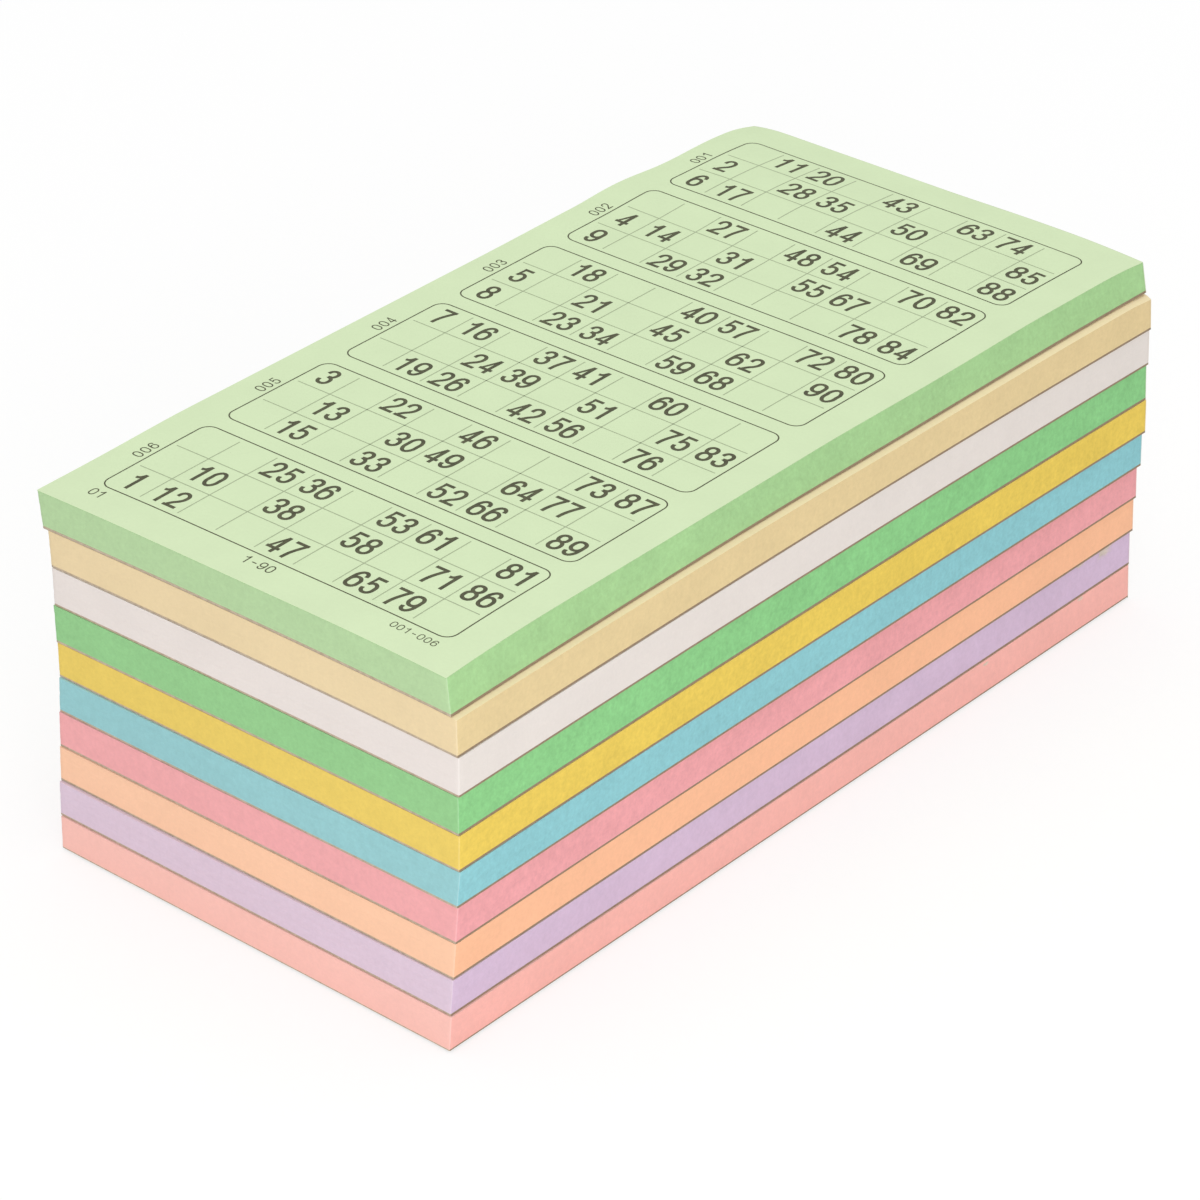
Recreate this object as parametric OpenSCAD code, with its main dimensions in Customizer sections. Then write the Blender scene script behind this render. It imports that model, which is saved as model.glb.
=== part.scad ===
// Ten pads of paper game tickets in a loose stack. A pad is a block of sheets on a backing board, bound by a
// film of padding glue along its head. X runs across a sheet, Y along it to the glued head, and Z up.
// The origin is on the underside of the lowest board, in the middle of the stack.

/* [Ticket sheet] */
// Width of a sheet, across its printed columns
sheet_w = 99; // [60:1:160]
// Length of a sheet, from the loose foot to the glued head
sheet_l = 210; // [150:1:320]

/* [Pad] */
// Height of a pad of ordinary stock, with its board
pad_h = 7.7; // [5:0.1:16]
// Sheets in a pad, its top ticket included
sheets_per_pad = 100; // [60:1:200]
// Thickness of the backing board
board_t = 0.5; // [0.3:0.05:1.5]
// Thickness of the film of glue on the head
glue_t = 0.3; // [0.1:0.05:0.8]

/* [Settling of the top pad] */
// Strip along the head that the glue holds flat
bound_strip = 1; // [0.5:0.5:5]
// How far the glue pinches the head of the top pad down
head_droop = 1.5; // [0.1:0.1:2.5]
// Length over which the sheets fall to the head
head_run = 65; // [30:1:80]
// How far the loose foot of the top pad falls
foot_droop = 0.6; // [0.1:0.1:2]
// Length over which the sheets fall to the foot
foot_run = 30; // [10:1:50]

/* [Stacking] */
// How untidily the pads lie on each other, where 0 is squared up
jog = 1; // [0:0.1:2]

/* [Hidden] */
// Thickness of one sheet of ordinary stock
sheet_t = (pad_h - board_t) / sheets_per_pad;

// Each list below runs from the top pad to the lowest one.
// Colour of the paper
tint = [
    "#d3e7bb", "#e8d3a4", "#e9e0da", "#98ce90", "#ebcd6c",
    "#9acbcf", "#efaaac", "#fac8a6", "#dbc3d4", "#f7bdb3"
];
// Thickness of the tinted stock against the ordinary sheet
bulk = [1, 1, 1.04, 1.03, 0.96, 1, 1.01, 1, 1.01, 0.99];
// How far the pad lies from the middle of the stack, across and along it
shift_x = [-1.5, 0.4, 0.55, 0.65, 0.9, 0.5, 0.05, -0.3, -0.45, -0.15];
shift_y = [0.3, 0.3, 0.1, 0.1, 0.1, 0.1, 0, -0.1, -0.4, -0.6];
// How far the pad is turned on the one below, in degrees
turn = [0.21, 0.08, 0.16, 0.11, 0, 0.07, 0.08, 0, -0.07, -0.28];
// How far the sheets at the top have slipped over the board, across and along the pad
lean_x = [-2.2, -0.45, -0.25, -0.35, -0.2, 0.05, -0.05, -0.05, -0.05, -0.15];
lean_y = [1.3, 0, 0, 0, 0, 0, 0, 0, 0, 0];

board_colour = "#a08a70";
glue_colour = "#efeade";
// Straight facets in the fall to the head and in the fall to the foot
head_facets = 9;
foot_facets = 5;
// How far a cutting shape reaches past the pad that it trims
overrun = 1;

pad_count = len(tint);
top_pad = 0;
foot = -sheet_l / 2;
head = sheet_l / 2;

PIECES = ["tickets", "top_ticket", "backing_board", "head_glue"];

function node_name(i, piece) = str("pad_", i < 9 ? "0" : "", i + 1, "_", piece);

// Heights within a pad, from the underside of its board, where the sheets lie flat
function leaf_t(i) = sheet_t * bulk[i];
function pad_t(i) = board_t + sheets_per_pad * leaf_t(i);
// Height of the pad's board above the underside of the stack
function pad_z(i) = i == pad_count - 1 ? 0 : pad_z(i + 1) + pad_t(i + 1);

// How far the sheets at y lie below the flat middle. The pads lower down are pressed flat.
function fall(rise, gap, run) = rise * pow(max(0, 1 - max(0, gap) / run), 2);
function droop(i, y) =
    i == top_pad
        ? fall(foot_droop, y - foot, foot_run) + fall(head_droop, head - bound_strip - y, head_run)
        : 0;
function ticket_top(i, y) = pad_t(i) - droop(i, y);
function ticket_bottom(i, y) = ticket_top(i, y) - leaf_t(i);

// Places along the pad where its section bends, from foot to head
function stations(i) =
    i == top_pad
        ? concat(
            [for (k = [0 : foot_facets]) foot + foot_run * k / foot_facets],
            [for (k = [head_facets : -1 : 0]) head - bound_strip - head_run * k / head_facets],
            [head]
        )
        : [foot, head];
function reversed(list) = [for (k = [len(list) - 1 : -1 : 0]) list[k]];

// Slope of the slipped sheets, across and along the pad
function slip_x(i) = jog * lean_x[i] / pad_t(i);
function slip_y(i) = jog * lean_y[i] / pad_t(i);

// Puts a pad's own frame in its place in the stack
module placed(i) {
    translate([jog * shift_x[i], jog * shift_y[i], pad_z(i)])
        rotate([0, 0, jog * turn[i]])
            children();
}

// The pad's two long sides, which lean with the slipped sheets, as one prism along Y
module between_long_sides(i) {
    low = -overrun;
    high = pad_t(i) + overrun;
    half = sheet_w / 2;
    rotate([90, 0, 0])
        linear_extrude(height = 2 * sheet_l, center = true)
            polygon([
                [-half + slip_x(i) * low, low],
                [half + slip_x(i) * low, low],
                [half + slip_x(i) * high, high],
                [-half + slip_x(i) * high, high]
            ]);
}

// A piece of the pad from the outline of its lengthwise section, a list of [y, z] points
module lengthwise(i, outline) {
    placed(i)
        intersection() {
            rotate([90, 0, 90])
                linear_extrude(height = 2 * sheet_w, center = true)
                    polygon([for (p = outline) [p[0] + slip_y(i) * p[1], p[1]]]);
            between_long_sides(i);
        }
}

// The bound sheets under the top ticket, as one block
module tickets(i) {
    surface = [for (y = stations(i)) [y, ticket_bottom(i, y)]];
    color(tint[i])
        lengthwise(i, concat([[foot, board_t], [head, board_t]], reversed(surface)));
}

// The loose sheet on top, which lies on the block and is held along its head
module top_ticket(i) {
    underside = [for (y = stations(i)) [y, ticket_bottom(i, y)]];
    face = [for (y = stations(i)) [y, ticket_top(i, y)]];
    color(tint[i])
        lengthwise(i, concat(underside, reversed(face)));
}

// The stiff board under the sheets, cut flush with them
module backing_board(i) {
    color(board_colour)
        lengthwise(i, [[foot, 0], [head, 0], [head, board_t], [foot, board_t]]);
}

// The film of padding glue over the head, from the board to the top ticket
module head_glue(i) {
    top = ticket_top(i, head);
    color(glue_colour)
        lengthwise(i, [[head, 0], [head + glue_t, 0], [head + glue_t, top], [head, top]]);
}

for (i = [0 : pad_count - 1]) {
    tickets(i);
    top_ticket(i);
    backing_board(i);
    head_glue(i);
}
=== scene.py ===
# %% [markdown]
# # Ten pads of bingo tickets in a loose stack
# A pad is a hundred thin printed sheets on a stiff board. The sheets are knocked up
# level, and padding glue is brushed over one short end, the head, so that a ticket can
# be turned over or torn off. The CAD frame gives every pad its body and its motion. This
# lesson dresses the frame: cut paper, board, glue and print, each as a piece of its own.

# %% Load the frame
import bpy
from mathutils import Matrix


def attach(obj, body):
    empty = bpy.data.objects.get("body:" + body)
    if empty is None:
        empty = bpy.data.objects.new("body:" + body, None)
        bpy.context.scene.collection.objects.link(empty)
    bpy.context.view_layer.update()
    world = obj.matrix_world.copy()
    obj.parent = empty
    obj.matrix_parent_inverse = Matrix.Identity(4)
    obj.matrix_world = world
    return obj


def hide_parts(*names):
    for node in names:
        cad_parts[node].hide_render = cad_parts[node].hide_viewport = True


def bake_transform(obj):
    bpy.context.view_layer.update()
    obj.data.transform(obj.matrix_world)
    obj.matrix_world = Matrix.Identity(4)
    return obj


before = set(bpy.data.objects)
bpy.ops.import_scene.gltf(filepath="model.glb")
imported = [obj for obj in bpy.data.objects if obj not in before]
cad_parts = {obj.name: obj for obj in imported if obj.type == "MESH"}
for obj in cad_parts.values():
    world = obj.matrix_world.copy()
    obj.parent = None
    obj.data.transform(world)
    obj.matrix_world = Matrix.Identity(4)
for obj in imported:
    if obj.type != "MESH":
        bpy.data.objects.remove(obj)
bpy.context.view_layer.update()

# %% Blender's own modules
import math
import random
from collections import namedtuple

import bmesh
import bpy
from mathutils import Matrix, Vector, noise

scene = bpy.context.scene
scene.view_settings.view_transform = "Standard"
print("Blender", bpy.app.version_string)

# %% [markdown]
# ## The camera
# The photograph was taken with a long lens, from above the corner where the foot and a
# long side meet. A camera could be set up by eye, but a fit to the printed grid and to the
# corners of the pads puts every corner on its place in the picture.

# %% Camera
CAMERA_PLACE = (0.49272, -0.59787, 0.48848)
CAMERA_TURN = (59.205, -0.426, 40.084)
LENS = 138.2
FILM_WIDTH = 36
camera = bpy.data.objects.new("camera", bpy.data.cameras.new("camera"))
scene.collection.objects.link(camera)
scene.camera = camera
camera.location = CAMERA_PLACE
camera.rotation_euler = [math.radians(angle) for angle in CAMERA_TURN]
camera.data.sensor_width = FILM_WIDTH
camera.data.lens = LENS
print("camera at", CAMERA_PLACE, "lens", LENS)

# %% [markdown]
# ## Nodes as sums
# A finish is a small calculation that runs at every point of a surface. Nodes could be
# wired one by one, but a sum is easier to read. `Socket` wraps a node's output and turns
# `1 - mask` into a Math node, and `Nodes.add` makes every other kind of node.

# %% A socket that can be added and multiplied
class Socket:
    def __init__(self, nodes, socket):
        self.nodes = nodes
        self.socket = socket

    def sum(self, operation, a, b):
        return self.nodes.add("ShaderNodeMath", {"operation": operation}, {0: a, 1: b})

    def __add__(self, other):
        return self.sum("ADD", self, other)

    def __sub__(self, other):
        return self.sum("SUBTRACT", self, other)

    def __rsub__(self, other):
        return self.sum("SUBTRACT", other, self)

    def __mul__(self, other):
        return self.sum("MULTIPLY", self, other)

    def __gt__(self, other):
        return self.sum("GREATER_THAN", self, other)

    def most(self, other):
        return self.sum("MAXIMUM", self, other)

    __radd__ = __add__
    __rmul__ = __mul__


# %% The tree that the sums are added to
class Nodes:
    def __init__(self, tree):
        self.tree = tree

    def add(self, kind, settings=None, sockets=None, out=0):
        node = self.tree.nodes.new(kind)
        for name, value in (settings or {}).items():
            if name == "stops":
                for stop, (place, colour) in zip(node.color_ramp.elements, value):
                    stop.position = place
                    stop.color = colour
            else:
                setattr(node, name, value)
        for name, value in (sockets or {}).items():
            self.plug(node.inputs[name], value)
        return Socket(self, node.outputs[out])

    def plug(self, socket, value):
        if isinstance(value, Socket):
            self.tree.links.new(value.socket, socket)
        else:
            socket.default_value = value

    def mix(self, share, a, b):
        # A Mix node keeps its colours on inputs 6 and 7 and on output 2.
        colours = {0: share, 6: a, 7: b}
        return self.add("ShaderNodeMix", {"data_type": "RGBA"}, colours, out=2)

    def shade(self, colour, amount):
        sockets = {0: colour, "Scale": amount}
        return self.add("ShaderNodeVectorMath", {"operation": "SCALE"}, sockets)

    def noise(self, vector, scale, detail=2.0, rough=0.5):
        sockets = {"Vector": vector, "Scale": scale, "Detail": detail, "Roughness": rough}
        return self.add("ShaderNodeTexNoise", sockets=sockets)

    def attribute(self, name, out="Fac"):
        return self.add("ShaderNodeAttribute", {"attribute_name": name}, out=out)


# %% [markdown]
# ## The studio
# The photograph is a plain shot on white, with light from all round and almost no shadow.
# One lamp would draw a hard shadow, so the sky gives most of the light. A soft box over
# the camera makes the near corner a little brighter than the far ends, and one over the
# stack lifts its top. The floor looks white to the camera and keeps a faint shadow.

# %% Rays that show the backdrop
def backdrop_rays(nodes):
    """1 for a ray from the camera, a mirror or glass, and 0 for light on its way to the part."""
    seen = nodes.add("ShaderNodeLightPath", out="Is Camera Ray")
    for ray in ("Is Glossy Ray", "Is Transmission Ray"):
        seen = seen.most(nodes.add("ShaderNodeLightPath", out=ray))
    return seen


# %% Sky
WHITE = (1.0, 1.0, 1.0, 1.0)
SKY_STRENGTH = 0.74
world = bpy.data.worlds.new("studio")
world.use_nodes = True
scene.world = world
sky = Nodes(world.node_tree)
seen = backdrop_rays(sky)
lighting = sky.add("ShaderNodeBackground", sockets={"Color": WHITE, "Strength": SKY_STRENGTH})
backdrop = sky.add("ShaderNodeBackground", sockets={"Color": WHITE, "Strength": 1.0})
mixed = sky.add("ShaderNodeMixShader", sockets={0: seen, 1: lighting, 2: backdrop})
sky.plug(world.node_tree.nodes["World Output"].inputs["Surface"], mixed)
print("nodes in the sky:", len(world.node_tree.nodes))


# %% Soft boxes
def soft_box(name, place, aim, size, watts):
    lamp = bpy.data.lights.new(name, "AREA")
    lamp.size = size
    lamp.energy = watts
    box = bpy.data.objects.new(name, lamp)
    scene.collection.objects.link(box)
    box.location = place
    box.rotation_euler = (Vector(aim) - Vector(place)).to_track_quat("-Z", "Y").to_euler()


STACK_MIDDLE = (0, 0, 0.04)
soft_box("front_soft_box", (0.62, -0.62, 0.26), STACK_MIDDLE, size=0.5, watts=2.55)
soft_box("top_soft_box", (-0.1, 0.1, 1.3), STACK_MIDDLE, size=1.2, watts=2.95)

# %% Floor
FLOOR_HALF = 6
FLOOR_DROP = 0.0002
floor_bm = bmesh.new()
bmesh.ops.create_grid(floor_bm, x_segments=1, y_segments=1, size=FLOOR_HALF)
bmesh.ops.translate(floor_bm, verts=floor_bm.verts, vec=(0, 0, -FLOOR_DROP))
floor_mesh = bpy.data.meshes.new("floor")
floor_bm.to_mesh(floor_mesh)
floor_bm.free()
floor = bpy.data.objects.new("floor", floor_mesh)
scene.collection.objects.link(floor)
print("floor in metres:", 2 * FLOOR_HALF)

# %% Finish of the floor
SHADOW_SHARE = 0.4
FLOOR_WHITE = (0.9, 0.9, 0.9, 1.0)
FLOOR_GLOW = 1.12
floor_finish = bpy.data.materials.new("white_sweep")
floor_finish.use_nodes = True
sweep = Nodes(floor_finish.node_tree)
share = backdrop_rays(sweep) * (1 - SHADOW_SHARE)
matt = sweep.add("ShaderNodeBsdfDiffuse", sockets={"Color": FLOOR_WHITE})
glow = sweep.add("ShaderNodeEmission", sockets={"Color": WHITE, "Strength": FLOOR_GLOW})
lit = sweep.add("ShaderNodeMixShader", sockets={0: share, 1: matt, 2: glow})
sweep.plug(floor_finish.node_tree.nodes["Material Output"].inputs["Surface"], lit)
floor_mesh.materials.append(floor_finish)
print("floor finish:", floor_finish.name)

# %% [markdown]
# ## The ten pads
# Every pad has its own tint of paper. A sheet is palest on its face. A cut edge looks
# deeper, because light goes in between the sheets and comes out with more of their colour,
# and the long sides are a little deeper than the foot. All ten pads could be copies of one,
# but they would look like a single block. So the second table says how each pad lies: its
# board is shifted and turned a little, and its sheets lean and twist from the board up. The
# knife that trimmed the pads leaned a hair too, so the upper pads are wider. The upright
# edges in the photograph gave these numbers.

# %% Sizes of a sheet and a pad
SHEET_W = 99.0
SHEET_L = 210.0
SHEETS = 100
LEAF_T = 0.072
BOARD_T = 0.5
GLUE_T = 0.3
FOOT, HEAD = -SHEET_L / 2, SHEET_L / 2
HALF_W = SHEET_W / 2
print("sheet in mm:", SHEET_W, "by", SHEET_L)

# %% Tints, from the top pad down
Pad = namedtuple("Pad", "slot face end side bulk rag")
PADS = [
    Pad("pale_green_paper", "#daecc2", "#b3d1a0", "#a4cd91", 1.00, 2.30),
    Pad("buff_paper", "#f6e4ba", "#e8d2a8", "#e1ca99", 1.00, 1.15),
    Pad("white_paper", "#f0ebe6", "#e6ddd8", "#e3dbd5", 1.04, 0.40),
    Pad("green_paper", "#abdca2", "#94ca8d", "#8bcb88", 1.03, 3.00),
    Pad("yellow_paper", "#f0d884", "#e8cb67", "#e7c95c", 0.96, 2.30),
    Pad("blue_paper", "#add8da", "#96c9cd", "#8ec9d0", 1.00, 2.50),
    Pad("rose_paper", "#f3bcbd", "#efaaac", "#eca4a8", 1.01, 2.20),
    Pad("peach_paper", "#fbd4b8", "#fac9a8", "#f9be98", 1.00, 1.00),
    Pad("lilac_paper", "#e4d0de", "#dcc7d8", "#d3bbd4", 1.01, 1.40),
    Pad("salmon_paper", "#f9cbc2", "#fac4b9", "#f7b8ae", 0.99, 1.15),
]
TOP, BARE, LOWEST = 0, 1, len(PADS) - 1
height = [BOARD_T + SHEETS * LEAF_T * pad.bulk for pad in PADS]
base = [sum(height[i + 1:]) for i in range(len(PADS))]
label = ["pad_%02d" % (i + 1) for i in range(len(PADS))]
print("stack height in mm:", round(base[TOP] + height[TOP], 3))

# %% How each pad lies, in millimetres and degrees
Lie = namedtuple("Lie", "shift turn lean")
LIES = [
    Lie((-1.36, 0.26), 0.15, (-2.22, 1.04)),
    Lie((0.23, 0.36), 0.05, (-0.45, 0.0)),
    Lie((0.37, 0.33), 0.12, (-0.25, 0.0)),
    Lie((0.40, 0.25), 0.07, (-0.35, 0.0)),
    Lie((0.76, 0.25), -0.04, (-0.20, 0.0)),
    Lie((0.41, 0.07), -0.06, (0.05, 0.0)),
    Lie((-0.08, 0.06), -0.03, (-0.05, 0.0)),
    Lie((-0.28, -0.08), -0.13, (-0.05, 0.0)),
    Lie((-0.40, -0.50), -0.22, (-0.05, 0.0)),
    Lie((-0.05, -0.76), -0.40, (-0.15, 0.0)),
]
UPPER_TWIST, LOWER_TWIST = 0.1, 0.26
twist = [UPPER_TWIST if i < len(PADS) / 2 else LOWER_TWIST for i in range(len(PADS))]
TOP_SPREAD, SPREAD_STEP = 0.2, 0.04
spread = [TOP_SPREAD - SPREAD_STEP * i for i in range(len(PADS))]
print("turn of the top ticket in degrees:", LIES[TOP].turn + twist[TOP])


# %% A screen colour as Blender's linear light
def linear(code):
    parts = [int(code[k:k + 2], 16) / 255 for k in (1, 3, 5)]
    parts = [p / 12.92 if p <= 0.04045 else ((p + 0.055) / 1.055) ** 2.4 for p in parts]
    return (*parts, 1.0)


print("a middle grey in linear light:", round(linear("#808080")[0], 3))

# %% [markdown]
# ## The paper
# Paper is a felt of fibres: matt, a little cloudy, with a few darker flecks. A cut edge
# is mottled, shows the sheets as fine streaks that run with them and the nicks of the
# knife as faint marks across them, the more the deeper the tint is (`rag` in the table).
# The corners, which are handled most, are rubbed pale, and the same paleness is a painted
# highlight along the upright corner lines. A scan of paper could be laid on, but it would
# slide over the sheets where they bend. Here the mesh tells the finish what is where: `cut`
# is 1 on a cut edge, `long_side` is 1 on the long sides, `sheet_no` counts the sheets,
# `wear_and_highlight` marks the rubbed corners with their painted highlight, and `scuff`
# the places where the edge is scraped.

# %% Paper finish
FLECK_TINT, FLECK_LEVEL, FLECK_SHARE = "#6f5f48", 0.86, 0.2
# Rubbed corners, painted paler and whiter: real wear and a painted highlight in one.
WORN_HIGHLIGHT_WHITE, WORN_HIGHLIGHT_TINT, WORN_HIGHLIGHT_SHARE = 0.62, 0.35, 0.2
SCUFF_TINT, SCUFF_SHARE = "#d6cbb8", 0.8


def swing(pattern, amount):
    """A pattern from 0 to 1 as a swing about nothing."""
    return amount * (pattern - 0.5)


def paper_finish(pad):
    material = bpy.data.materials.new(pad.slot)
    material.use_nodes = True
    nodes = Nodes(material.node_tree)
    place = nodes.add("ShaderNodeTexCoord", out="Object")
    cut = nodes.attribute("cut")
    sheet = nodes.attribute("sheet_no")

    long_side = nodes.attribute("long_side")
    edge = nodes.mix(long_side, linear(pad.end), linear(pad.side))
    tint = nodes.mix(cut, linear(pad.face), edge)
    cloud = nodes.noise(place, scale=90, detail=3)
    fibre = nodes.noise(place, scale=1500, detail=3, rough=0.65)
    mottle = nodes.noise(place, scale=480, detail=3, rough=0.6)

    across = nodes.add("ShaderNodeSeparateXYZ", sockets={0: place}, out="X")
    along = nodes.add("ShaderNodeSeparateXYZ", sockets={0: place}, out="Y")

    def edge_noise(per_metre, per_sheet):
        run = {"X": across * per_metre, "Y": along * per_metre, "Z": sheet * per_sheet}
        return nodes.noise(nodes.add("ShaderNodeCombineXYZ", sockets=run), scale=1.0)

    streaks = edge_noise(per_metre=60, per_sheet=1.3)
    nicks = edge_noise(per_metre=900, per_sheet=0.06)
    spots = swing(fibre, 0.08) + swing(mottle, 0.08) + swing(cloud, 0.05 * long_side)
    marks = swing(streaks, 0.03) + swing(nicks, 0.07)
    ragged = pad.rag * (0.6 + 0.4 * long_side)
    tone = 1 + swing(cloud, 0.08) + swing(fibre, 0.06) + cut * ragged * (spots + marks)
    tint = nodes.shade(tint, tone)

    flecks = nodes.noise(place, scale=420, detail=1) > FLECK_LEVEL
    tint = nodes.mix(flecks * FLECK_SHARE, tint, linear(FLECK_TINT))
    # Real rubbing and a painted highlight: the corner lines are mixed towards a pale, whitened
    # tint.
    worn_highlight = [WORN_HIGHLIGHT_TINT * c + WORN_HIGHLIGHT_WHITE for c in linear(pad.face)[:3]] + [1.0]
    tint = nodes.mix(nodes.attribute("wear_and_highlight") * WORN_HIGHLIGHT_SHARE, tint, worn_highlight)
    tint = nodes.mix(nodes.attribute("scuff") * SCUFF_SHARE, tint, linear(SCUFF_TINT))

    shader = material.node_tree.nodes["Principled BSDF"]
    nodes.plug(shader.inputs["Base Color"], tint)
    nodes.plug(shader.inputs["Roughness"], 0.86 + 0.12 * fibre)
    nodes.plug(shader.inputs["Specular IOR Level"], 0.2)
    relief = fibre + cut * streaks
    bump = {"Strength": 0.25, "Distance": 0.00003, "Height": relief}
    nodes.plug(shader.inputs["Normal"], nodes.add("ShaderNodeBump", sockets=bump))
    return material


papers = [paper_finish(pad) for pad in PADS]
print("paper finishes:", [m.name for m in papers])

# %% [markdown]
# ## Board, glue and ink
# The board is grey chipboard, pressed from waste paper, with specks of many tones, and
# its long sides are drawn darker and browner than its foot. Padding glue dries to a milky,
# rubbery film with the drag of the brush along the head. The film could be made of clear
# glass, but a mixed colour is quicker and steadier: the mesh says in `under` what lies
# under the film, and the alpha of `under` is 1 where the film is sheer. The ink is a dark
# grey, and in the thin rules it is sheer too, so that they stay fine and even from any distance.

# %% Finish from a cloud of two tints
# The long sides of the board are tinted darker and browner than its foot.
LONG_SIDE_TINT, LONG_SIDE_SHARE = "#806a50", 0.7
FINER = 7
COARSE_SHARE = 0.65
CONTRAST = 2.2


def plain_finish(name, dark, pale, scale, stretch, rough, relief, sheer=0.0):
    material = bpy.data.materials.new(name)
    material.use_nodes = True
    nodes = Nodes(material.node_tree)
    place = nodes.add("ShaderNodeTexCoord", out="Object")
    drawn = nodes.add("ShaderNodeMapping", sockets={"Vector": place, "Scale": stretch})
    coarse = nodes.noise(drawn, scale, detail=3, rough=0.6)
    fine = nodes.noise(drawn, scale * FINER, detail=2, rough=0.6)
    cloud = coarse * COARSE_SHARE + fine * (1 - COARSE_SHARE)
    share = swing(cloud, CONTRAST) + 0.5
    ramp = [(0.0, linear(dark)), (1.0, linear(pale))]
    tint = nodes.add("ShaderNodeValToRGB", {"stops": ramp}, {"Fac": share})
    # Faces marked as long sides are mixed towards a darker brown.
    tint = nodes.mix(nodes.attribute("long_side") * LONG_SIDE_SHARE, tint, linear(LONG_SIDE_TINT))
    if sheer:
        share = sheer * nodes.attribute("under", "Alpha")
        tint = nodes.mix(share, tint, nodes.attribute("under", "Color"))
    shader = material.node_tree.nodes["Principled BSDF"]
    nodes.plug(shader.inputs["Base Color"], tint)
    nodes.plug(shader.inputs["Roughness"], rough + swing(fine, 0.12))
    nodes.plug(shader.inputs["Specular IOR Level"], 0.3)
    bump = {"Strength": 0.5, "Distance": relief, "Height": coarse + fine}
    nodes.plug(shader.inputs["Normal"], nodes.add("ShaderNodeBump", sockets=bump))
    return material


# %% The three finishes
EVEN, BRUSHED = (1, 1, 1), (1, 8, 14)
board_finish = plain_finish("chipboard", "#a39079", "#cfbea9", scale=900, stretch=EVEN,
                            rough=0.92, relief=0.00006)
glue_finish = plain_finish("dried_glue", "#e3dcc9", "#f6f2e8", scale=60, stretch=BRUSHED,
                           rough=0.42, relief=0.00008, sheer=0.55)
ink_finish = plain_finish("grey_ink", "#3a3a29", "#646549", scale=700, stretch=EVEN,
                          rough=0.7, relief=0.00001, sheer=0.5)
print("finishes:", board_finish.name, glue_finish.name, ink_finish.name)

# %% [markdown]
# ## How the sheets lie
# Every pad is a hair thicker in the middle than at its cut ends, and ten of them make a
# crown of a millimetre. The lower pads follow it and leave only a hair of air under the
# next board. The top pad is free: it drapes over the crown, swells a little before the
# head, where the glue pinches it, its corners fall further, and its long edges wave. The
# pad under it lies bare along the right, where the top pad has slid away, and its edge
# falls a little there. A cloth simulation could do this, but a few smooth falls, read off
# the outline and the print in the photograph, put each edge where it is. In each of them
# the first number is a height in millimetres, and the others say where it is and how far
# it runs. The sheets in between share the height evenly.

# %% Smooth falls
def fall(gap, run):
    """1 at an edge, smoothly down to 0 where the gap to it is a run long."""
    return max(0.0, 1 - max(0.0, gap) / run) ** 2


def wave(gap, run):
    """1 in the middle of a wave, smoothly down to 0 a run to either side."""
    return max(0.0, 1 - (gap / run) ** 2) ** 2


def bare_sink(x, y):
    """How far the second pad's bare edge and its far corner fall."""
    right, head = HALF_W - x, HEAD - y
    edge = (0.22 + 0.5 * (1 - head / SHEET_L) ** 2) * fall(right, 2.5)
    return edge + 0.4 * fall(math.hypot(right, head), 8)


def top_sink(x, y):
    """How far the top sheet lies under a flat one."""
    left, right = HALF_W + x, HALF_W - x
    foot, head = y - FOOT, HEAD - y
    ends = 0.35 * fall(foot, 30) + 1.3 * fall(head - 1, 65)
    corners = 0.75 * fall(math.hypot(left, head), 9) + 0.5 * fall(math.hypot(right, head), 16)
    corners += 0.2 * fall(math.hypot(left, foot), 28) + 0.55 * fall(math.hypot(right, foot), 32)
    right_dips = 0.5 * fall(right, 34) * wave(head - 62, 44)
    right_dips += 0.1 * fall(right, 24) * wave(foot - 55, 80)
    right_dips += 0.2 * fall(right, 24) * wave(head - 22, 20)
    left_dip = 0.38 * fall(left, 30) * wave(foot - 15, 24)
    left_rises = 0.06 * fall(left, 30) * wave(head - 70, 80)
    left_rises += 0.25 * fall(left, 30) * wave(head - 48, 40)
    left_rises += 0.45 * fall(left, 16) * wave(head - 45, 14)
    left_rises += 0.5 * fall(left, 22) * wave(head - 13, 16)
    head_rise = 0.22 * fall(head, 30) * wave(right - 25, 24)
    swell = (0.65 - 0.0105 * x) * (1 - (x / HALF_W) ** 4) * wave(head - 26, 30)
    return ends + corners + right_dips + left_dip - left_rises - head_rise - swell


print("fall of the top sheet's near right corner in mm:", round(top_sink(HALF_W, FOOT), 2))

# %% Height of a board and of a sheet over the pad's own base
AIR = 0.03
CROWN, ARCH, SAG = 1.07, 0.5, 0.25
BORDER_SINK, BORDER_RUN, BORDER_WAVE = 0.05, 6, 24


def crown(i, x, y):
    """The bow along the stack grows smoothly from the lowest board, the one across it later."""
    level = (LOWEST - i) / LOWEST
    along = CROWN * level * level * (3 - 2 * level)
    across = ARCH * max(0.0, 2 * level - 1)
    u, v = x / HALF_W, y / HEAD
    sag = SAG * fall(HALF_W - x, 50) * wave(y - 28, 55) if i == TOP else 0.0
    return along * (1 - v * v) + across * (1 - u * u) * v * v - sag


def lid(i, x, y):
    if i == TOP:
        return height[i] - top_sink(x, y)
    border = fall(min(HALF_W - abs(x), HEAD - abs(y)), BORDER_RUN)
    drift = 0.5 + 0.5 * noise.noise((x / BORDER_WAVE, y / BORDER_WAVE, 7.3 * i))
    sink = AIR + BORDER_SINK * border * drift
    if i == BARE:
        sink += bare_sink(x, y)
    return height[i] + crown(i - 1, x, y) - sink


def sheet_z(i, x, y, number):
    low = crown(i, x, y) + BOARD_T
    return low + (lid(i, x, y) - low) * number / SHEETS


print("middle of the top sheet over its pad's base in mm:", round(sheet_z(TOP, 0, 0, SHEETS), 2))

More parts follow.
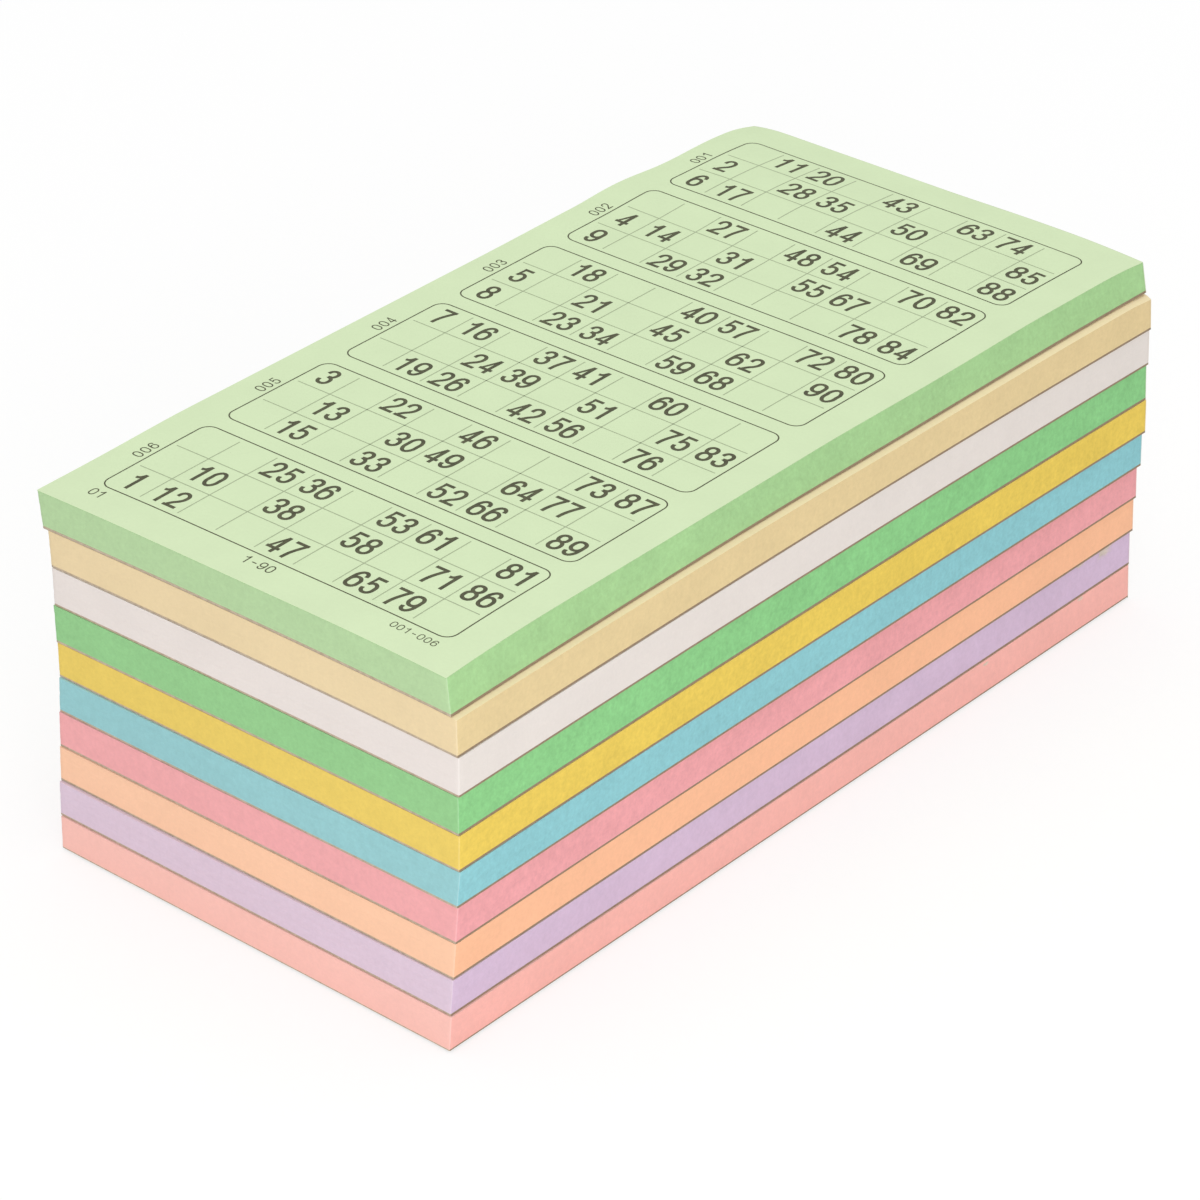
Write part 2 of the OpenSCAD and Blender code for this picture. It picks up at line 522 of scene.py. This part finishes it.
# %% [markdown]
# ## From a pad's own frame to the stack
# A piece is drawn square in its pad's own frame. Then the sheets lean over and twist, the
# more the higher they lie, the pad is turned a little, and it is moved to its place. A pad
# could be turned as a whole object, but then its sheets wouldn't lean, so every point is
# moved by itself. Single sheets never line up either: they slip in small batches, as they
# were knocked up, and a hair one by one. The glue holds them fast along the head.

# %% Place of a point in the stack
MM = 0.001


def placed(i, x, y, z):
    lie = LIES[i]
    up = z / height[i]
    x += spread[i] * x / SHEET_W + lie.lean[0] * up
    y += lie.lean[1] * up
    angle = math.radians(lie.turn + twist[i] * up)
    c, s = math.cos(angle), math.sin(angle)
    return Vector((
        (lie.shift[0] + c * x - s * y) * MM,
        (lie.shift[1] + s * x + c * y) * MM,
        (base[i] + z) * MM,
    ))


print("middle of the top sheet in metres:", [round(c, 4) for c in placed(TOP, 0, 0, height[TOP])])

# %% Slips of the single sheets
BATCH_SLIP = 0.03
SHEET_SLIP = 0.008
BATCH_LEAST, BATCH_MOST = 9, 26
EASE = 3
SEED = 40


def slips(i):
    dice = random.Random(SEED + i)
    rough = []
    while len(rough) <= SHEETS:
        batch = (dice.uniform(-1, 1), dice.uniform(-1, 1))
        rough += [batch] * dice.randint(BATCH_LEAST, BATCH_MOST)
    eased = []
    for k in range(SHEETS + 1):
        near = rough[max(0, k - EASE):min(SHEETS, k + EASE) + 1]
        mean = [sum(p[a] for p in near) / len(near) * BATCH_SLIP for a in (0, 1)]
        eased.append([m + dice.uniform(-1, 1) * SHEET_SLIP for m in mean])
    return eased


def loose(y):
    """0 at the glued head and 1 at the foot."""
    return (HEAD - y) / SHEET_L


def slipped(i, number, x, y):
    slip = sheet_slips[i][number]
    return x + slip[0], y + slip[1] * loose(y)


sheet_slips = [slips(i) for i in range(len(PADS))]
print("largest slip in mm:", round(max(abs(v) for s in sheet_slips for p in s for v in p), 3))

# %% [markdown]
# ## A slab on chosen lines
# Block, ticket and board are all thin slabs. A cube could be subdivided evenly, but a slab
# needs its lines where the shape turns: close together at the corners and, on the top
# pad, at the head. So a grid is moved onto chosen lines, extruded once, and its upright
# edges are cut into layers. A vertex keeps the number of its layer as its height.

# %% Lines
CORNER = 0.2
BORDER = 1.0
CLOSE_PITCH, WIDE_PITCH = 2.4, 5.0


def pitch_of(i):
    return CLOSE_PITCH if i == TOP else WIDE_PITCH


def lines(half, pitch):
    """Places from -half to half, close together at both ends."""
    reach = half - BORDER
    steps = round(2 * reach / pitch)
    inner = [-reach + 2 * reach * k / steps for k in range(steps + 1)]
    return [-half, -half + CORNER] + inner + [half - CORNER, half]


print("lines across a sheet:", len(lines(HALF_W, CLOSE_PITCH)), len(lines(HALF_W, WIDE_PITCH)))


# %% Slab
def slab(x_lines, y_lines, layers):
    bm = bmesh.new()
    nx, ny = len(x_lines) - 1, len(y_lines) - 1
    bmesh.ops.create_grid(bm, x_segments=nx, y_segments=ny, size=1)
    for v in bm.verts:
        v.co.x = x_lines[round((v.co.x + 1) / 2 * nx)]
        v.co.y = y_lines[round((v.co.y + 1) / 2 * ny)]
    grown = bmesh.ops.extrude_face_region(bm, geom=bm.faces[:])["geom"]
    raised = [v for v in grown if isinstance(v, bmesh.types.BMVert)]
    bmesh.ops.translate(bm, verts=raised, vec=(0, 0, layers))
    uprights = [e for e in bm.edges if abs(e.verts[0].co.z - e.verts[1].co.z) > 0.5]
    if layers > 1:
        bmesh.ops.subdivide_edges(bm, edges=uprights, cuts=layers - 1, use_grid_fill=True)
    bmesh.ops.recalc_face_normals(bm, faces=bm.faces[:])
    return bm


# %% Soft corners and marks for the finish
HAIR = 0.01
FLAT = 0.75


def at_corner(x, y, within):
    return HALF_W - abs(x) < within and HEAD - abs(y) < within


def round_corner(x, y):
    """The corner of a sheet, pulled in to a small round."""
    if at_corner(x, y, HAIR):
        pull = CORNER * (1 - math.sqrt(0.5))
        return x - math.copysign(pull, x), y - math.copysign(pull, y)
    return x, y


# 1 on the upright corner lines, where the wear and the painted highlight are drawn.
def corner_wear(x, y):
    return 1.0 if at_corner(x, y, CORNER / 2) else 0.0


def mark_cuts(bm):
    cut = bm.faces.layers.float.new("cut")
    long_side = bm.faces.layers.float.new("long_side")
    bm.normal_update()
    for f in bm.faces:
        f[cut] = 0.0 if abs(f.normal.z) > FLAT else 1.0
        f[long_side] = 1.0 if abs(f.normal.x) > abs(f.normal.y) else 0.0


print("a corner is pulled in to", round_corner(HALF_W, HEAD))

# %% From bmesh to a piece
SHARP_ANGLE = 50


def piece_from(bm, name, material):
    for f in bm.faces:
        f.smooth = True
    mesh = bpy.data.meshes.new(name)
    bm.to_mesh(mesh)
    bm.free()
    mesh.set_sharp_from_angle(angle=math.radians(SHARP_ANGLE))
    mesh.materials.append(material)
    piece = bpy.data.objects.new(name, mesh)
    scene.collection.objects.link(piece)
    return piece


# %% [markdown]
# ## The block of sheets
# Ninety-nine sheets lie under the ticket on top. Ninety-nine separate sheets would double
# every face for nothing, because only their edges are ever seen. So the block is one shell
# with one layer to a sheet, and each layer has the slip of its own sheet. The two lowest
# pads have small scrapes on their right side, where a few sheets are pushed in and pale.

# %% Scrapes on the long side
Scuff = namedtuple("Scuff", "y z wide tall deep")
SCUFFS = {
    8: [Scuff(96.0, 6.8, 2.8, 1.4, 0.4), Scuff(87.2, 7.4, 1.3, 0.7, 0.2)],
    9: [Scuff(87.8, 7.2, 1.0, 0.6, 0.2), Scuff(55.2, 6.7, 1.0, 0.5, 0.2)],
}
SCUFF_REACH = 0.5
SCUFF_LINES, SCUFF_PARTS = 5, 4.1


def scuff_at(i, x, y, z):
    """How deep the long side is scraped at a point, and how pale it is there."""
    deep = pale = 0.0
    if HALF_W - x < SCUFF_REACH:
        for scuff in SCUFFS.get(i, []):
            ragged = 1 + 0.6 * noise.noise((y * 1.7, z * 2.3, 3.0))
            share = wave(y - scuff.y, scuff.wide * ragged) * wave(z - scuff.z, scuff.tall * ragged)
            deep = max(deep, scuff.deep * share)
            pale = max(pale, min(1.0, 2 * share))
    return deep, pale


def scuff_lines(i):
    """Close lines across each scrape, where the pad's own lines are too far apart for it."""
    steps = range(-SCUFF_LINES, SCUFF_LINES + 1)
    return [scuff.y + scuff.wide * k / SCUFF_PARTS for scuff in SCUFFS.get(i, []) for k in steps]


print("scrapes:", sum(len(scuffs) for scuffs in SCUFFS.values()))


# %% Blocks
def block_of(i):
    y_lines = sorted(lines(HEAD, pitch_of(i)) + scuff_lines(i))
    bm = slab(lines(HALF_W, pitch_of(i)), y_lines, SHEETS - 1)
    sheet_no = bm.verts.layers.float.new("sheet_no")
    wear_and_highlight = bm.verts.layers.float.new("wear_and_highlight")
    scuff = bm.verts.layers.float.new("scuff")
    for v in bm.verts:
        number = round(v.co.z)
        x, y = round_corner(v.co.x, v.co.y)
        z = sheet_z(i, x, y, number)
        if i == TOP and number == SHEETS - 1:
            z -= AIR
        deep, pale = scuff_at(i, x, y, z)
        v[sheet_no] = number + SHEETS * i
        v[wear_and_highlight] = corner_wear(x, y)
        v[scuff] = pale
        x, y = slipped(i, number, x, y)
        v.co = placed(i, x - deep, y, z)
    mark_cuts(bm)
    block = piece_from(bm, label[i] + "_block", papers[i])
    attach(block, label[i])
    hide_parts(label[i] + "_tickets")
    return block


blocks = [block_of(i) for i in range(len(PADS))]
print("faces in a block:", len(blocks[TOP].data.polygons), len(blocks[BARE].data.polygons))

# %% [markdown]
# ## The ticket on top
# The uppermost sheet of each pad is a piece of its own. On the top pad it stays fast in
# the glue within a few millimetres of the head. A stiff flap on a hinge would tear away
# from the glue, so that strip has close lines. Its foot stands out over the block by a
# hair, which draws a thin dark line under it.

# %% Tickets
CURL_START, CURL_END = 1.0, 10.0
CURL_ZONE = 12.5
CURL_FIRST, CURL_PITCH, CURL_LINES = 0.8, 0.6, 20
FOOT_OUT = 0.12


def curl_lines(y_lines):
    """The lines of a sheet, with close ones in the strip by the head."""
    kept = [y for y in y_lines if y < HEAD - CURL_ZONE or y > HEAD - CORNER - HAIR]
    return sorted(kept + [HEAD - CURL_FIRST - CURL_PITCH * k for k in range(CURL_LINES)])


def ticket_of(i):
    y_lines = lines(HEAD, pitch_of(i))
    if i == TOP:
        y_lines = curl_lines(y_lines)
    bm = slab(lines(HALF_W, pitch_of(i)), y_lines, 1)
    sheet_no = bm.verts.layers.float.new("sheet_no")
    wear_and_highlight = bm.verts.layers.float.new("wear_and_highlight")
    for v in bm.verts:
        number = SHEETS - 1 + round(v.co.z)
        x, y = round_corner(v.co.x, v.co.y)
        z = sheet_z(i, x, y, number)
        foot_out = FOOT_OUT * loose(y) if i == TOP else 0.0
        v[sheet_no] = number + SHEETS * i
        v[wear_and_highlight] = corner_wear(x, y)
        x, y = slipped(i, SHEETS - 1, x, y)
        v.co = placed(i, x, y - foot_out, z)
    mark_cuts(bm)
    return piece_from(bm, label[i] + "_sheet", papers[i])


tickets = [ticket_of(i) for i in range(len(PADS))]
print("faces in a ticket:", len(tickets[TOP].data.polygons), len(tickets[BARE].data.polygons))


# %% Tickets on their bodies, the top one baked in place
def bend_over(piece):
    top = height[TOP]
    start = placed(TOP, 0, HEAD - CURL_START, top)
    end = placed(TOP, 0, HEAD - CURL_END, top)
    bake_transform(piece)


for i, ticket in enumerate(tickets):
    if i == TOP:
        bend_over(ticket)
    else:
        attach(ticket, label[i])
    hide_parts(label[i] + "_top_ticket")
print("tickets:", len(tickets))

# %% [markdown]
# ## The backing board
# The board is cut with the sheets, so it is flush with them. Its edge is not sharp: the
# knife squeezes the soft board, so it is a little rounded, and it wanders by a hair. A
# bevel could round it, but four levels of a slab, with the outer two drawn in, also take
# the wander. The lowest board has been pushed over many tables, and its lower edge is
# rubbed away. A level is written as its height and how far its edge is drawn in there.

# %% Boards
BOARD_LEVELS = ((0.0, 0.06), (0.07, 0.0), (0.43, 0.0), (BOARD_T, 0.05))
RUBBED_LEVELS = ((0.0, 0.45), (0.24, 0.0), (0.43, 0.0), (BOARD_T, 0.05))
WANDER, WANDER_RUN = 0.04, 5


def board_of(i):
    levels = RUBBED_LEVELS if i == LOWEST else BOARD_LEVELS
    bm = slab(lines(HALF_W, WIDE_PITCH), lines(HEAD, WIDE_PITCH), len(levels) - 1)
    for v in bm.verts:
        z, drawn_in = levels[round(v.co.z)]
        x, y = round_corner(v.co.x, v.co.y)
        edge = WANDER * noise.noise((x / WANDER_RUN, y / WANDER_RUN, 11.1 * i + z))
        if HALF_W - abs(v.co.x) < HAIR:
            x += math.copysign(edge, x)
        if v.co.y - FOOT < HAIR:
            y -= edge
        z += crown(i, x, y)
        x *= 1 - drawn_in / HALF_W
        y = HEAD - (HEAD - y) * (1 - drawn_in / SHEET_L)
        v.co = placed(i, x, y, z)
    mark_cuts(bm)
    board = piece_from(bm, label[i] + "_board", board_finish)
    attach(board, label[i])
    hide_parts(label[i] + "_backing_board")
    return board


boards = [board_of(i) for i in range(len(PADS))]
print("boards:", len(boards))

# %% [markdown]
# ## The film of glue
# The glue is brushed on in two or three coats. The film is thickest in the middle of the
# head, thins out towards its rim, and keeps low ridges from the brush. It could be a plain
# box, but that would show no brush marks. So it is a slab on end: its inner face lies just
# inside the paper, and its outer face is moved in and out. Two close rows at the top of the
# board let the tint under the film change there at once.

# %% Glue films
BOARD_TINT = "#8f7b66"
GLUE_PITCH, GLUE_ROWS = 2.0, 12
SEAM_ROW = 0.005
THIN_SHARE, FULL_SHARE = 0.35, 0.9
RIDGE = 0.05
GLUE_BITE = 0.05
GLUE_SHY = 0.02


def glue_of(i):
    seam = BOARD_T / height[i]
    rows = [seam + (1 - seam) * k / GLUE_ROWS for k in range(GLUE_ROWS + 1)]
    bm = slab(lines(HALF_W, GLUE_PITCH), [0.0, seam - SEAM_ROW] + rows, 1)
    under = bm.verts.layers.float_color.new("under")
    for v in bm.verts:
        x, up, outer = v.co.x, v.co.y, round(v.co.z)
        v[under] = linear(BOARD_TINT if up < seam - SEAM_ROW / 2 else PADS[i].end)
        low = crown(i, x, HEAD)
        z = low + up * (sheet_z(i, x, HEAD, SHEETS) - low)
        rim = 1 - max(abs(2 * up - 1) ** 6, (abs(x) / HALF_W) ** 60)
        drag = noise.noise((x / 22, z / 1.1, 5.7 * i)) + 0.5 * noise.noise((x / 6, z / 0.6, i))
        share = THIN_SHARE + (FULL_SHARE - THIN_SHARE) * rim
        thick = GLUE_T * share + RIDGE * drag * rim
        reach = math.copysign(min(abs(x), HALF_W - GLUE_SHY), x)
        v.co = placed(i, reach, HEAD + (thick if outer else -GLUE_BITE), z)
    bmesh.ops.recalc_face_normals(bm, faces=bm.faces[:])
    film = piece_from(bm, label[i] + "_glue_film", glue_finish)
    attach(film, label[i])
    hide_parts(label[i] + "_head_glue")
    return film


films = [glue_of(i) for i in range(len(PADS))]
print("glue films:", len(films))

# %% [markdown]
# ## Type for the numbers
# The numbers are set in a bold, narrow face without serifs, and the small ones in a light
# one. Blender's own font has other shapes, so ten digits and a dash are cast here. Each one
# is a few strokes: a curve with a nib as its bevel draws a bar, as a broad pen does. The
# bars are joined by a boolean, so that no stroke lies in another, and only their upper
# faces are kept and laid flat. Slanted beams are drawn thinner, as in a real face, and the
# same strokes with a finer nib give the light face.

# %% Strokes of the digits, in a box from 0 to 1
SIX = [("bow", (0.95, 0.75), (0.86, 0.92), (0.52, 1.0), (0.14, 0.86), (0.0, 0.5), (0.0, 0.3)),
       ("loop", (0.5, 0.63), (0.88, 0.54), (1.0, 0.31), (0.88, 0.08), (0.5, 0.0),
        (0.12, 0.08), (0.0, 0.31), (0.12, 0.54))]
STROKES = {
    "0": [("loop", (0.5, 1.0), (0.92, 0.84), (1.0, 0.5), (0.92, 0.16), (0.5, 0.0),
           (0.08, 0.16), (0.0, 0.5), (0.08, 0.84))],
    "1": [("bar", (0.66, 0.0), (0.66, 1.0)), ("bow", (0.02, 0.76), (0.34, 0.8), (0.62, 1.0))],
    "2": [("bow", (0.02, 0.68), (0.13, 0.91), (0.5, 1.0), (0.88, 0.9), (0.97, 0.7),
           (0.82, 0.47), (0.4, 0.24), (0.1, 0.0)), ("bar", (0.0, 0.0), (1.0, 0.0))],
    "3": [("bow", (0.02, 0.74), (0.14, 0.92), (0.48, 1.0), (0.85, 0.91), (0.93, 0.75),
           (0.78, 0.58), (0.38, 0.535)),
          ("bow", (0.38, 0.535), (0.84, 0.46), (1.0, 0.27), (0.87, 0.07), (0.48, 0.0),
           (0.12, 0.08), (0.0, 0.27))],
    "4": [("bar", (0.74, 0.0), (0.74, 1.0)), ("bar", (0.0, 0.23), (1.0, 0.23)),
          ("beam", (0.02, 0.23), (0.7, 1.04))],
    "5": [("bar", (0.2, 1.0), (0.9, 1.0)), ("beam", (0.2, 1.05), (0.08, 0.47)),
          ("bow", (0.08, 0.5), (0.28, 0.61), (0.58, 0.645), (0.9, 0.54), (1.0, 0.32),
           (0.88, 0.08), (0.48, 0.0), (0.12, 0.09), (0.0, 0.27))],
    "6": SIX,
    "7": [("bar", (0.0, 1.0), (1.0, 1.0)),
          ("bow", (1.0, 1.0), (0.66, 0.62), (0.44, 0.26), (0.36, -0.1))],
    "8": [("loop", (0.5, 1.0), (0.85, 0.92), (0.94, 0.77), (0.83, 0.61), (0.5, 0.54),
           (0.17, 0.61), (0.06, 0.77), (0.15, 0.92)),
          ("loop", (0.5, 0.54), (0.86, 0.46), (1.0, 0.27), (0.87, 0.07), (0.5, 0.0),
           (0.13, 0.07), (0.0, 0.27), (0.14, 0.46))],
    "9": [(kind, *[(1 - u, 1 - v) for u, v in path]) for kind, *path in SIX],
    "-": [("bar", (0.2, 0.45), (0.8, 0.45))],
}
print("type:", " ".join(STROKES))

# %% A nib
NIB_DEPTH = 0.2


def nib_of(width):
    curve = bpy.data.curves.new("nib", "CURVE")
    edge = curve.splines.new("POLY")
    edge.points.add(3)
    edge.use_cyclic_u = True
    for point, (u, v) in zip(edge.points, ((-1, -1), (1, -1), (1, 1), (-1, 1))):
        point.co = (u * width / 2, v * NIB_DEPTH / 2, 0, 1)
    nib = bpy.data.objects.new("nib", curve)
    scene.collection.objects.link(nib)
    return nib


# %% A solid from what an object shows
MERGE = 0.001


def solid_from(holder):
    """The mesh that an object shows, closed and facing out, as a new object in its stead."""
    scene.collection.objects.link(holder)
    shown = holder.evaluated_get(bpy.context.evaluated_depsgraph_get())
    mesh = bpy.data.meshes.new_from_object(shown)
    bpy.data.objects.remove(holder)
    tidy = bmesh.new()
    tidy.from_mesh(mesh)
    bmesh.ops.remove_doubles(tidy, verts=tidy.verts[:], dist=MERGE)
    bmesh.ops.recalc_face_normals(tidy, faces=tidy.faces[:])
    tidy.to_mesh(mesh)
    tidy.free()
    return bpy.data.objects.new("stroke", mesh)


# %% A stroke
BEAM_SHARE = 0.74
BOW_STEPS = 3


def stroke_points(stroke, wide, tall, pen):
    kind, *points = stroke
    path = [Vector((pen / 2 + u * (wide - pen), pen / 2 + v * (tall - pen), 0)) for u, v in points]
    if kind == "bar":
        cap = (path[1] - path[0]).normalized() * pen / 2
        path = [path[0] - cap, path[1] + cap]
    return path


def drawn_stroke(stroke, wide, tall, pen, nib):
    """A stroke as a solid bar: the nib is carried along its curve."""
    curve = bpy.data.curves.new("stroke", "CURVE")
    curve.dimensions = "3D"
    curve.twist_mode = "Z_UP"
    curve.bevel_mode = "OBJECT"
    curve.bevel_object = nib
    curve.use_fill_caps = True
    straight = stroke[0] in ("bar", "beam")
    path = stroke_points(stroke, wide, tall, pen)
    spline = curve.splines.new("BEZIER")
    spline.bezier_points.add(len(path) - 1)
    for point, co in zip(spline.bezier_points, path):
        point.co = co
        point.handle_left_type = point.handle_right_type = "VECTOR" if straight else "AUTO"
        point.radius = BEAM_SHARE if stroke[0] == "beam" else 1.0
    spline.use_cyclic_u = stroke[0] == "loop"
    curve.resolution_u = spline.resolution_u = 1 if straight else BOW_STEPS
    return solid_from(bpy.data.objects.new("stroke", curve))


# %% A digit from its strokes
def cast(digit, wide, tall, pen, nib):
    first, *others = [drawn_stroke(stroke, wide, tall, pen, nib) for stroke in STROKES[digit]]
    for other in others:
        scene.collection.objects.link(other)
        join = first.modifiers.new("join", "BOOLEAN")
        join.operation = "UNION"
        join.solver = "EXACT"
        join.object = other
    mesh = solid_from(first).data
    for other in others:
        bpy.data.objects.remove(other)
    face = bmesh.new()
    face.from_mesh(mesh)
    below = [f for f in face.faces if min(v.co.z for v in f.verts) < HAIR]
    bmesh.ops.delete(face, geom=below, context="FACES")
    bmesh.ops.scale(face, vec=(1, 1, 0), verts=face.verts)
    face.to_mesh(mesh)
    face.free()
    return mesh


# %% Three founts
Fount = namedtuple("Fount", "dies wide tall")


def fount(wide, tall, pen):
    nib = nib_of(pen)
    dies = {digit: cast(digit, wide, tall, pen, nib) for digit in STROKES}
    bpy.data.objects.remove(nib)
    return Fount(dies, wide, tall)


bold = fount(wide=3.05, tall=6.0, pen=0.79)
light = fount(wide=1.5, tall=2.45, pen=0.27)
small = fount(wide=1.2, tall=1.8, pen=0.2)
print("faces in a bold 8:", len(bold.dies["8"].polygons))


# %% Set a line of type
def set_type(bm, face, text, centre, gap, turned=0.0):
    length = len(text) * face.wide + (len(text) - 1) * gap
    frame_of_line = Matrix.Translation((*centre, 0)) @ Matrix.Rotation(turned, 4, "Z")
    for k, digit in enumerate(text):
        start = len(bm.verts)
        bm.from_mesh(face.dies[digit])
        bm.verts.ensure_lookup_table()
        corner = Matrix.Translation((k * (face.wide + gap) - length / 2, -face.tall / 2, 0))
        bmesh.ops.transform(bm, matrix=frame_of_line @ corner, verts=bm.verts[start:])


# %% [markdown]
# ## Frames and rules
# A ticket is a frame with round corners, nine columns and three rows. The frame could be a
# curve too, but one face with bevelled corners and an inset is quicker: the rim stays and
# the middle goes. The thin rules inside stop just short of it. All lines are cut into short
# lengths, so that they bend with the sheet. A rule is marked by a height of 1, which goes
# when the print is laid on the sheet.

# %% Sizes of a ticket
COLUMNS, ROWS = 9, 3
COLUMN = 9.415
ROW = 9.61
FRAME_HALF = (COLUMNS / 2 * COLUMN, ROWS / 2 * ROW)
FRAME_R = 2.5
FRAME_STEPS = 6
FRAME_LINE = 0.28
RULE = 0.22
HALF_TONE = 1
SHY = 1.3
STEP = 2.0
print("frame in mm:", [round(2 * half, 2) for half in FRAME_HALF])


# %% Draw a frame and its rules
def add_copy(bm, other):
    mesh = bpy.data.meshes.new("copy")
    other.to_mesh(mesh)
    other.free()
    bm.from_mesh(mesh)
    bpy.data.meshes.remove(mesh)


def draw_frame(bm):
    ring = bmesh.new()
    bmesh.ops.create_grid(ring, x_segments=1, y_segments=1, size=1)
    bmesh.ops.scale(ring, vec=(*FRAME_HALF, 1), verts=ring.verts)
    bmesh.ops.bevel(ring, geom=ring.verts[:], offset=FRAME_R, offset_type="OFFSET",
                    affect="VERTICES", segments=FRAME_STEPS, profile=0.5, material=-1)
    bmesh.ops.inset_region(ring, faces=ring.faces[:], thickness=FRAME_LINE,
                           use_boundary=True, use_even_offset=True)
    middle = max(ring.faces, key=lambda f: f.calc_area())
    bmesh.ops.delete(ring, geom=[middle], context="FACES")
    for axis in (0, 1):
        long = [e for e in ring.edges if abs(e.verts[0].co[axis] - e.verts[1].co[axis]) > FRAME_R]
        cuts = round(2 * FRAME_HALF[axis] / STEP)
        bmesh.ops.subdivide_edges(ring, edges=long, cuts=cuts, use_grid_fill=True)
    add_copy(bm, ring)


def draw_rule(bm, centre, length, upright):
    rule = bmesh.new()
    bmesh.ops.create_grid(rule, x_segments=round(length / STEP), y_segments=1, size=0.5)
    bmesh.ops.scale(rule, vec=(length, RULE, 1), verts=rule.verts)
    turned = Matrix.Rotation(math.radians(90 if upright else 0), 4, "Z")
    marked = Matrix.Translation((*centre, HALF_TONE)) @ turned
    bmesh.ops.transform(rule, matrix=marked, verts=rule.verts)
    add_copy(bm, rule)


# %% [markdown]
# ## The tickets' numbers
# In a strip of six tickets each number from 1 to 90 comes once. A ticket has five numbers
# in a row, and a number's tens give its column, with 90 beside the eighties. Chance could
# deal them out, but these are the photograph's, so that the two pictures can be compared.

# %% Numbers of the strip
STRIP = [
    ((11, 20, 43, 63, 74), (2, 28, 35, 50, 85), (6, 17, 44, 69, 88)),
    ((27, 48, 54, 70, 82), (4, 14, 31, 55, 67), (9, 29, 32, 78, 84)),
    ((18, 40, 57, 72, 80), (5, 21, 45, 62, 90), (8, 23, 34, 59, 68)),
    ((7, 16, 37, 41, 60), (24, 39, 51, 75, 83), (19, 26, 42, 56, 76)),
    ((3, 22, 46, 73, 87), (13, 30, 49, 64, 77), (15, 33, 52, 66, 89)),
    ((25, 36, 53, 61, 81), (10, 38, 58, 71, 86), (1, 12, 47, 65, 79)),
]
drawn = sorted(n for ticket in STRIP for row in ticket for n in row)
print("every number once:", drawn == list(range(1, 91)))


# %% One ticket, flat, about its own middle
DIGIT_GAP = 0.6
PAIR_NUDGE = -0.25


def ticket_print(rows):
    bm = bmesh.new()
    draw_frame(bm)
    for k in range(1, COLUMNS):
        draw_rule(bm, ((k - COLUMNS / 2) * COLUMN, 0), ROWS * ROW - 2 * SHY, upright=True)
    for k in range(1, ROWS):
        draw_rule(bm, (0, (k - ROWS / 2) * ROW), COLUMNS * COLUMN - 2 * SHY, upright=False)
    for r, row in enumerate(rows):
        for number in row:
            column = min(number // 10, COLUMNS - 1)
            nudge = PAIR_NUDGE if number > 9 else 0.0
            centre = ((column - COLUMNS // 2) * COLUMN + nudge, (ROWS // 2 - r) * ROW)
            set_type(bm, bold, str(number), centre, DIGIT_GAP)
    mesh = bpy.data.meshes.new("ticket_print")
    bm.to_mesh(mesh)
    bm.free()
    return mesh


ticket_prints = [ticket_print(rows) for rows in STRIP]
print("faces in a ticket's print:", len(ticket_prints[0].polygons))

# %% [markdown]
# ## Printing a sheet
# A sheet holds six tickets, with a serial number up the left of each and small plain
# numbers along the foot. A picture of the print could be laid on the paper, but it would
# blur in a close view. So the flat print is laid on the sheet as a film of ink, a little
# above the paper, point by point, and follows every fall of the sheet. The first strip has
# the photograph's order, and from pad to pad the order moves on by one ticket.

# %% A strip of six tickets, flat
TICKETS = len(STRIP)
PITCH = 32.83
SERIAL_OUT, SERIAL_GAP = 2.05, 0.5
FOOT_LINE, FOOT_GAP = 2.5, 0.4
LEFT_IN, RIGHT_IN = 2.3, 6
SMALL_UP, SMALL_GAP = 0.3, 0.35


def strip_print(order, first):
    bm = bmesh.new()
    left, right = -FRAME_HALF[0], FRAME_HALF[0]
    middles = [((TICKETS - 1) / 2 - t) * PITCH for t in range(TICKETS)]
    for t, ticket in enumerate(order):
        start = len(bm.verts)
        bm.from_mesh(ticket_prints[ticket])
        bm.verts.ensure_lookup_table()
        bmesh.ops.translate(bm, verts=bm.verts[start:], vec=(0, middles[t], 0))
        beside = (left - SERIAL_OUT, middles[t])
        set_type(bm, light, "%03d" % (first + t), beside, SERIAL_GAP, turned=math.pi / 2)
    low = middles[-1] - FRAME_HALF[1] - FOOT_LINE
    set_type(bm, light, "01", (left + LEFT_IN, low), FOOT_GAP)
    set_type(bm, light, "1-90", (0, low), FOOT_GAP)
    span = "%03d-%03d" % (first, first + TICKETS - 1)
    set_type(bm, small, span, (right - RIGHT_IN, low + SMALL_UP), SMALL_GAP)
    for f in bm.faces:
        if f.normal.z < 0:
            f.normal_flip()
    return bm


# %% Ink on a sheet
INK_RISE = 0.02
PRINT_X, PRINT_Y, PRINT_TURN = -0.21, 0.05, 0.003


def lay_print(i, bm, number, name):
    rise = INK_RISE - (AIR if number < SHEETS else 0)
    under = bm.verts.layers.float_color.new("under")
    for v in bm.verts:
        v[under] = (*linear(PADS[i].face)[:3], v.co.z)
        x = v.co.x - PRINT_TURN * v.co.y + PRINT_X
        y = v.co.y + PRINT_TURN * v.co.x + PRINT_Y
        z = sheet_z(i, x, y, number) + rise
        x, y = slipped(i, SHEETS - 1, x, y)
        v.co = placed(i, x, y, z)
    return piece_from(bm, name, ink_finish)


# %% Print on the pads
def order_from(start):
    return [(start + t) % TICKETS for t in range(TICKETS)]


for i in range(len(PADS)):
    ink = lay_print(i, strip_print(order_from(i), first=1), SHEETS, label[i] + "_print")
    if i == TOP:
        bend_over(ink)
    else:
        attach(ink, label[i])
next_strip = strip_print(order_from(TICKETS // 2), first=TICKETS + 1)
next_ink = lay_print(TOP, next_strip, SHEETS - 1, "pad_01_next_print")
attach(next_ink, "pad_01")
print("faces in a strip's print:", len(next_ink.data.polygons))
